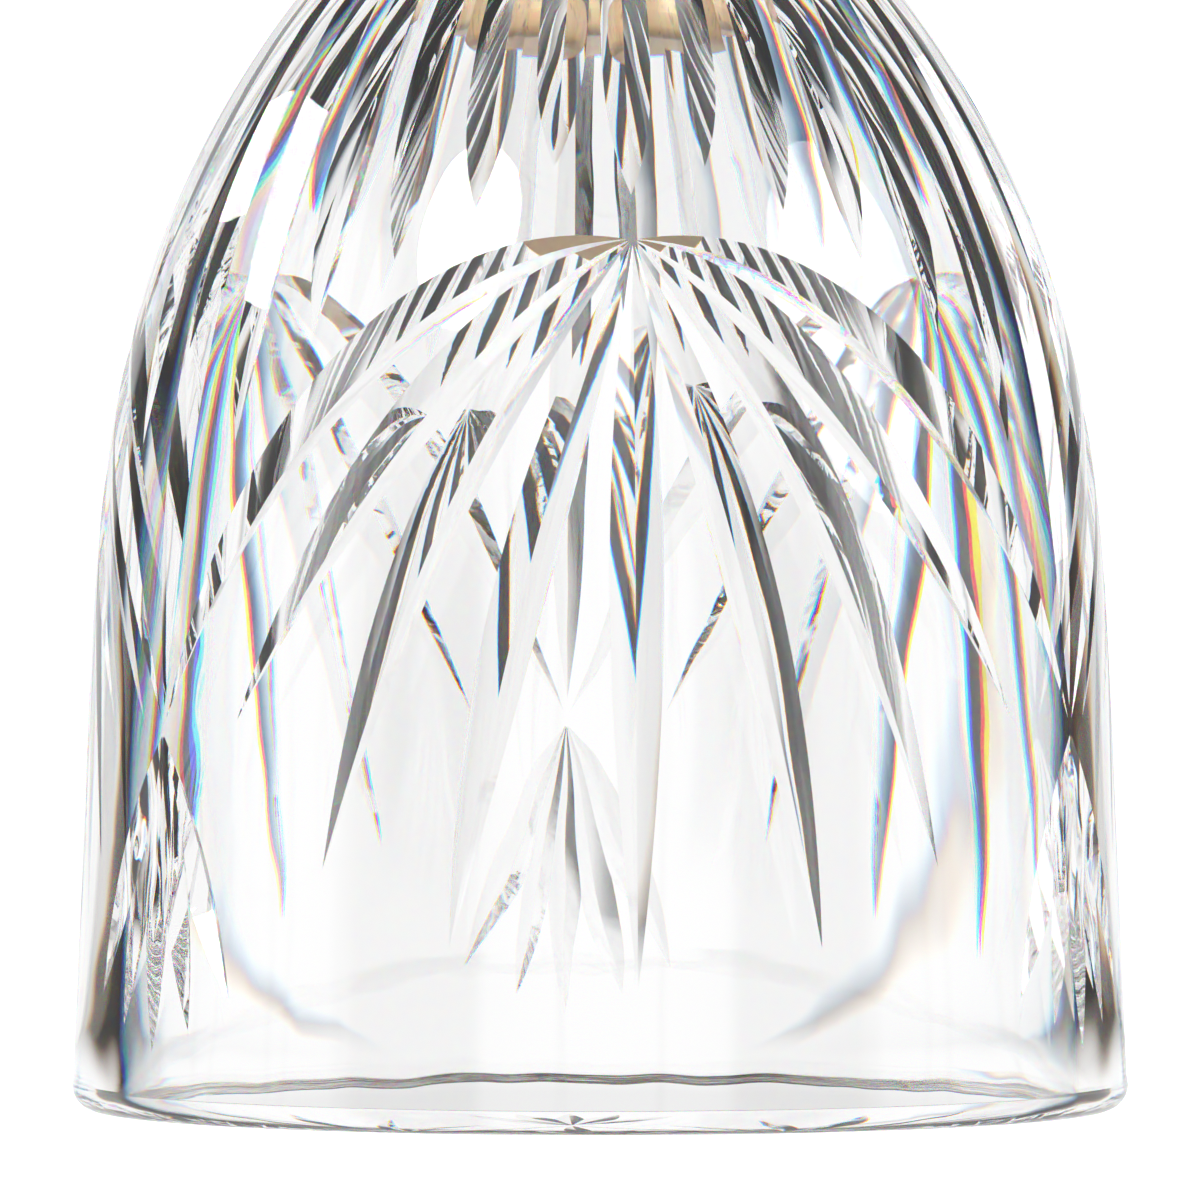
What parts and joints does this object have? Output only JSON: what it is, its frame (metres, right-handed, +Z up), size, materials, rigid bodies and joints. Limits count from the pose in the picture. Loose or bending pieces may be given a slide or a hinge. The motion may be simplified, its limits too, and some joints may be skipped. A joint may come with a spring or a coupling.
{
  "type": "hand bell",
  "caption": "Cut-crystal hand bell with fans and upright flutes of V cuts, turned beech handle with brass fittings, and a beech clapper hung on a brass ring.",
  "frame": {"origin": "centre of the rim plane, so the bell stands on z = 0", "axes": "+Z up along the bell's axis towards the handle, -Y through the middle of one large fan of cuts, +X to the right of that fan"},
  "size_m": [0.0756, 0.0756, 0.1689],
  "materials": {
    "crystal": "clear lead crystal, polished all over",
    "beech": "turned beech, oiled",
    "brass": "turned brass, polished",
    "steel": "plain steel",
    "cork": "pressed cork",
    "nylon": "natural nylon"
  },
  "bodies": {
    "bell": {"glass_bell": "crystal", "neck_washer": "cork", "neck_ferrule": "brass", "handle_grip": "beech", "grip_ring": "brass", "grip_knob": "beech", "finial_washer": "brass", "finial_nut": "brass", "tie_rod": "steel", "bore_bush": "nylon", "inner_washer": "cork", "inner_plate": "brass", "spring_washer": "steel", "rod_nut": "brass"},
    "ring": {"hanger_ring": "brass"},
    "clapper": {"clapper_eye": "brass", "clapper_washer": "brass", "clapper_bob": "beech"}
  },
  "joints": [
    {"name": "ring_swing", "type": "hinge", "parent": "bell", "child": "ring", "pos_m": [0, 0, 0.0928], "axis": [1, 0, 0], "range_deg": [-17, 17]},
    {"name": "clapper_swing", "type": "hinge", "parent": "ring", "child": "clapper", "pos_m": [0, 0, 0.08935], "axis": [0, 1, 0], "range_deg": [-17, 17]}
  ]
}
